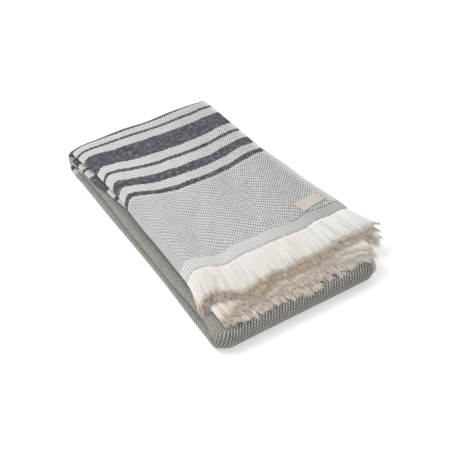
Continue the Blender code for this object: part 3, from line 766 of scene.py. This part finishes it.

# Direction is the way out of the cloth along its length. The shade zone is the share of a strand at
# its cut that is painted in warm shade, in the outermost layer and within. Tint is its mean share of
# brown.
Fringe = namedtuple("Fringe", "name node edge direction flare outer_depth open_zone tint seed")
FRINGES = (
    Fringe("top_fringe", "fringe_top", 0.0, -1.0, TOP_FLARE, OUTSIDE_TURN,
           (0.04, 0.70), 0.50, 21),
    Fringe("under_fringe", "fringe_under", CLOTH_LENGTH, 1.0, UNDER_FLARE, -OUTSIDE_TURN,
           (0.50, 0.75), 0.22, 22),
)

# Loosely spun undyed cotton yarn: soft, matt and warm white, with a few browner strands. The cut ends
# are painted beige to brown as warm shade, where the fibres stand open and shade one another.
YARN_WHITE, TIP_SHADE_BEIGE, YARN_BROWN_AND_SHADE = linear("#F4F1EE"), linear("#F9F1E6"), linear("#DDBE96")
STREAK, STREAK_POWER = 0.24, 4.0            # brown in the body of the few strands that are darkest
yarn, tree, shader = new_material("cut cotton yarn, undyed", Roughness=0.9, Sheen_Weight=0.25,
                                  Sheen_Roughness=0.6, Specular_IOR_Level=0.2)
tip_shade_share, tint_share = (
    add_node(tree, "Attribute", (), "Fac", attribute_name=name) for name in ("tip_shade", "tint"))
few = add_node(tree, "Math", (tint_share, STREAK_POWER), operation="POWER")
streak = add_node(tree, "Math", (few, STREAK), operation="MULTIPLY")
# The tip colour is painted warm shade; the brown streaks in the body are the yarn's own.
body_colour, tip_shade_colour = (
    add_node(tree, "Mix", {FACTOR: brown, COLOUR_A: pale, COLOUR_B: YARN_BROWN_AND_SHADE}, COLOUR_OUT,
             data_type="RGBA")
    for brown, pale in ((streak, YARN_WHITE), (tint_share, TIP_SHADE_BEIGE)))
yarn_colour = add_node(tree, "Mix", {FACTOR: tip_shade_share, COLOUR_A: body_colour,
                                     COLOUR_B: tip_shade_colour}, COLOUR_OUT, data_type="RGBA")
tree.links.new(yarn_colour, shader.inputs["Base Color"])


def tubes(paths, radii, sides):
    """Tubes along many paths at once, as points and polygons.

    Each ring lies round a path's point at its radius, on two directions square to the tangent:
    the tangent crossed with a fixed direction, and that crossed with the tangent.
    """
    count, steps = paths.shape[:2]
    tangent = np.gradient(paths, axis=1)
    tangent = tangent / np.linalg.norm(tangent, axis=-1, keepdims=True)
    aside = np.cross(tangent, RING_FROM)
    aside = aside / np.linalg.norm(aside, axis=-1, keepdims=True)
    above = np.cross(aside, tangent)
    angle = 2 * math.pi * np.arange(sides) / sides
    round_it = (np.cos(angle)[:, None] * aside[..., None, :]
                + np.sin(angle)[:, None] * above[..., None, :])
    points = paths[..., None, :] + radii[..., None, None] * round_it
    start = (np.arange(count)[:, None, None] * steps + np.arange(steps - 1)[:, None]) * sides
    one = np.arange(sides)
    two = (one + 1) % sides
    walls = np.stack((start + one, start + sides + one, start + sides + two, start + two), axis=-1)
    roots = np.arange(count)[:, None] * steps * sides + one
    tips = roots[:, ::-1] + (steps - 1) * sides
    return points.reshape(-1, 3), [walls.reshape(-1, 4), roots, tips]


def freed(inner, least):
    """How free a strand is: its least share in the outermost layer, straight up to 1 within."""
    return least + (1.0 - least) * inner


def strand_paths(fringe, across, inner, lock, lock_edges, lengths, rng):
    """Middle lines of the strands, (strands, steps, 3).

    A strand goes on from the cloth's end as the cloth would, gathers towards its lock's middle,
    spreads with the fifth power of its place towards the sides, sags with the square of its
    length the more the deeper its layer, and sways a little on a sine of its length.
    """
    count = len(across)
    share = np.linspace(0.0, 1.0, STRAND_STEPS + 1)[None, :]
    lock_middle = (lock_edges[lock] + lock_edges[lock + 1]) / 2
    pull = GATHER[0] + (GATHER[1] - GATHER[0]) * inner
    gather = (pull * rng.uniform(GATHER_LEAST, 1.0, count))[:, None] * share ** GATHER_CURVE
    aside = rng.normal(0.0, LOCK_ASIDE, LOCKS)[lock] * freed(inner, LEAST_ASIDE)
    sideways = across[:, None] + (lock_middle - across)[:, None] * gather + aside[:, None] * share ** 2
    reach = fringe.edge + fringe.direction * (lengths[:, None] * share - STRAND_TUCK)
    lift = rng.uniform(-STRAND_JITTER, STRAND_JITTER, count)[:, None] * np.ones_like(share)
    lock_lift = rng.normal(0.0, LOCK_LIFT, LOCKS)[lock] * freed(inner, LEAST_LIFT)
    lift = lift + lock_lift[:, None] * share ** 2
    paths = offset_surface(sideways, reach, lift)
    keep = 1.0 - FLARE_FADE * inner
    side = np.clip((paths[..., 0] + BOX_CENTRE[0]) / (2 * HALF_WIDTH) + 0.5, 0.0, 1.0)
    fan = (fringe.flare[1] * keep[:, None] * side ** FLARE_POWER
           - fringe.flare[0] * (1.0 - side) ** FLARE_POWER)
    paths[..., 0] += fan * share ** FLARE_CURVE
    if fringe.direction > 0:
        paths[..., 0] -= UNDER_SPREAD * (1.0 - side) ** FLARE_POWER * eased(SPREAD_RISE * share)
    sag = SAG[0] + SAG[1] * inner[:, None] + RIGHT_SAG * inner[:, None] * side ** FLARE_POWER
    paths[..., 2] -= sag * share ** 2 * (fringe.direction < 0)
    sway = rng.normal(0.0, 1.0, (3, count, 1)) * SWAY[:, None, None]
    wave = np.sin(math.pi * 2.0 * share * rng.uniform(*SWAY_TURNS, (count, 1))
                  + rng.uniform(0.0, SWAY_SHIFT, (count, 1)))
    swing = share * (0.5 + 0.5 * wave) * freed(inner, LEAST_SWAY)[:, None]
    return paths + np.moveaxis(sway * swing, 0, -1)


for fringe in FRINGES:
    rng = np.random.default_rng(fringe.seed)
    lock_edges = np.linspace(0.0, CLOTH_WIDTH, LOCKS + 1)
    lock_edges[1:-1] += rng.uniform(-LOCK_UNEVEN, LOCK_UNEVEN, LOCKS - 1) * CLOTH_WIDTH / LOCKS
    across = np.linspace(STRAND_INSET, CLOTH_WIDTH - STRAND_INSET, STRANDS)
    across = across + rng.uniform(-STRAND_JITTER, STRAND_JITTER, STRANDS)
    lock = np.clip(np.searchsorted(lock_edges, across) - 1, 0, LOCKS - 1)
    depth = folded_line(WIDTH_FOLDS, WIDTH_START, across)[1]
    inner = abs(fringe.outer_depth - depth) / (2 * OUTSIDE_TURN)
    x = towel_surface(across, np.full(STRANDS, fringe.edge))[:, 0] + BOX_CENTRE[0]
    cut_touch = np.interp(x, CUT_PLACES, CUT_TOUCH) * (fringe.direction < 0)
    middle = 1.0 - np.clip(abs(x) / HALF_WIDTH, 0.0, 1.0) ** 3
    slow_length = np.interp(across, np.linspace(0.0, CLOTH_WIDTH, CUT_WAVES),
                            rng.normal(0.0, CUT_WAVE, CUT_WAVES))
    lock_length = rng.normal(0.0, LOCK_LENGTH, LOCKS)[lock] * freed(inner, LEAST_LENGTH)
    lengths = FRINGE_LENGTH + INNER_LONGER * inner * middle + cut_touch + slow_length
    lengths = lengths + lock_length + rng.normal(0.0, STRAND_LENGTH, STRANDS)
    paths = strand_paths(fringe, across, inner, lock, lock_edges, lengths, rng)
    share = np.linspace(0.0, 1.0, STRAND_STEPS + 1)
    radii = np.interp(share, STRAND_PLACES, STRAND_RADIUS)
    radii = radii * rng.uniform(*STRAND_THICKER, STRANDS)[:, None]
    # The tint sets the brown of the painted tip shade: browner in the outermost layer, varied at random
    # by lock and strand, and paler at the right end where light comes through.
    tint = fringe.tint + OUTER_BROWNER * (0.5 - inner)
    tint = tint + rng.normal(0.0, TINT_LOCKS, LOCKS)[lock] + rng.normal(0.0, TINT_STRANDS, STRANDS)
    tint = np.clip(tint - RIGHT_PALER * np.clip(x / HALF_WIDTH, 0.0, 1.0) ** 2, 0.0, 1.0)
    # The deeper a layer lies under the others, in their shadow, the longer the share of its strands
    # painted in shade.
    deep = eased(DEPTH_GAIN * inner)
    zone = fringe.open_zone[0] + (fringe.open_zone[1] - fringe.open_zone[0]) * deep
    tip_shade = eased((share[None, :] - 1.0 + zone[:, None]) / zone[:, None])
    yarns = new_piece(fringe.name + "_yarns", *tubes(paths, radii, STRAND_SIDES), yarn)
    give_values(yarns, {"tip_shade": np.repeat(tip_shade.ravel(), STRAND_SIDES),
                        "tint": np.repeat(tint, (STRAND_STEPS + 1) * STRAND_SIDES)})

    # Loose fibres: each leaves its yarn near the cut, goes on roughly as it does, and curls.
    fibres = STRANDS * FIBRES_PER_STRAND
    owner = np.repeat(np.arange(STRANDS), FIBRES_PER_STRAND)
    place = rng.uniform(*FIBRE_ROOTS, fibres) * STRAND_STEPS
    step = place.astype(int)
    part = (place - step)[:, None]
    root = paths[owner, step] * (1.0 - part) + paths[owner, step + 1] * part
    ahead = paths[owner, -1] - paths[owner, -3]
    ahead = ahead / np.linalg.norm(ahead, axis=-1, keepdims=True)
    ahead = ahead + rng.normal(0.0, FIBRE_STRAY, (fibres, 3)) * FIBRE_STRAY_AXES
    curl = rng.normal(0.0, FIBRE_CURL, (fibres, 3)) * FIBRE_CURL_AXES
    length = rng.uniform(*FIBRE_LENGTH, fibres)[:, None, None]
    along_it = np.linspace(0.0, 1.0, FIBRE_STEPS + 1)[None, :, None]
    fibre_paths = root[:, None] + length * (ahead[:, None] * along_it + curl[:, None] * along_it ** 2)
    fibre_radii = np.tile(FIBRE_RADII, (fibres, 1))
    fluff = new_piece(fringe.name + "_fluff", *tubes(fibre_paths, fibre_radii, STRAND_SIDES), yarn)
    each = (FIBRE_STEPS + 1) * STRAND_SIDES
    # Fibres of deeper layers get more painted shade.
    fluff_tip_shade = FLUFF_TIP_SHADE[0] + FLUFF_TIP_SHADE[1] * deep[owner]
    give_values(fluff, {"tip_shade": np.repeat(fluff_tip_shade, each), "tint": np.repeat(tint[owner], each)})
    for piece in (yarns, fluff):
        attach(piece, "root")
    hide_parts(fringe.node)


# ---------------------------------------------------------------------------------------------
# The label: a short length of beige woven tape, 46 by 20.5 mm, left bare, its edges turned under
# and sewn to the cloth all round, near the front right corner of the top layer.
LABEL_CENTRE = (0.0859, -0.0966)
LABEL_SIZE = (0.046, 0.0205)
LABEL_TURN = math.radians(13.4)
LABEL_THICK, LABEL_LIFT = 0.0006, 0.0004
LABEL_SPANS = (36, 20)
PLACE_ROUNDS = 12           # of finding the point of the cloth at a place


def on_cloth(x, y, lift):
    """Points over places of the top layer, found by stepping across and along by what is missing."""
    across = HALF_WIDTH - x
    along = y - TOP_EDGE_Y
    for _ in range(PLACE_ROUNDS):
        points = towel_surface(across, along)
        across = across + (points[..., 0] - x)
        along = along - (points[..., 1] - y)
    return offset_surface(across, along, CLOTH_THICK / 2 + lift)


def label_points(right, back, lift):
    """Points at distances right and back of the label's middle, turned with it, on the cloth."""
    x = LABEL_CENTRE[0] + right * math.cos(LABEL_TURN) - back * math.sin(LABEL_TURN)
    y = LABEL_CENTRE[1] + right * math.sin(LABEL_TURN) + back * math.cos(LABEL_TURN)
    return on_cloth(x, y, lift)


# Beige damask tape: a flat, slightly silky, fine weave. Its two tones are drawn crossing every
# 1.1 mm, as coarse as they need to show.
TAPE_WEAVE = 0.0011
TAPE_BUMP, TAPE_DEPTH = 0.5, 0.0002
TAPE_LIGHT, TAPE_DARK = linear("#D0C8BE"), linear("#BDB4A9")
tape, tree, shader = new_material("woven label tape, beige", Roughness=0.75, Sheen_Weight=0.1)
tape_uv = add_node(tree, "UVMap", (), uv_map="weave")
turns = add_node(tree, "VectorMath", {0: tape_uv, "Scale": 2 * math.pi / TAPE_WEAVE}, operation="SCALE")
ribs = add_node(tree, "VectorMath", (turns,), operation="SINE")
ribs = add_node(tree, "SeparateXYZ", (ribs,)).node.outputs
tape_weave = add_node(tree, "Math", (ribs["X"], ribs["Y"]), operation="MULTIPLY")
tape_tone = add_node(tree, "MapRange", (tape_weave, -1.0))
tape_colour = add_node(tree, "Mix", {FACTOR: tape_tone, COLOUR_A: TAPE_LIGHT,
                                     COLOUR_B: TAPE_DARK}, COLOUR_OUT, data_type="RGBA")
tree.links.new(tape_colour, shader.inputs["Base Color"])
bump = add_node(tree, "Bump", {"Strength": TAPE_BUMP, "Distance": TAPE_DEPTH, "Height": tape_weave})
tree.links.new(bump, shader.inputs["Normal"])

right_grid, back_grid = np.meshgrid(np.linspace(-0.5, 0.5, LABEL_SPANS[0] + 1) * LABEL_SIZE[0],
                                    np.linspace(-0.5, 0.5, LABEL_SPANS[1] + 1) * LABEL_SIZE[1])

# The label's grid runs the other way round than the cloth's, so its lower face comes first.
label = slab("label_tape", label_points(right_grid, back_grid, LABEL_LIFT),
             label_points(right_grid, back_grid, LABEL_LIFT + LABEL_THICK), tape)
give_threads(label, both_faces(right_grid), both_faces(back_grid))
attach(label, "root")
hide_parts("label")
